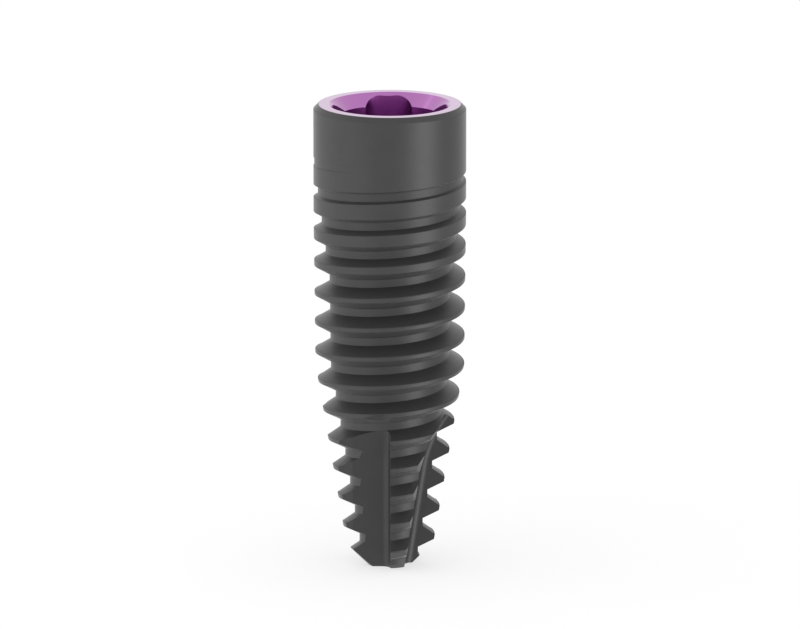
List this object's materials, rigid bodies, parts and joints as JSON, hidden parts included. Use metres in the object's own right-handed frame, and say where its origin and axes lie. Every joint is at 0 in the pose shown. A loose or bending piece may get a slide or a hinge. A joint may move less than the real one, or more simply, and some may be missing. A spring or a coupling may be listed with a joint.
{
  "type": "dental implant",
  "caption": "Tapered dental implant with a self-tapping thread, cutting flutes and a lobed anodised socket in its smooth head.",
  "frame": {"origin": "centre of the flat tip, at the implant's lowest point", "axes": "+Z along the implant's axis, from the tip to the head; +X to the right and -Y towards the camera of the picture"},
  "size_m": [0.0042, 0.0042, 0.013],
  "materials": {
    "titanium": "dark grey blasted titanium, with a magenta anodised rim and socket"
  },
  "bodies": {
    "root": {"implant_body": "titanium"}
  },
  "joints": []
}
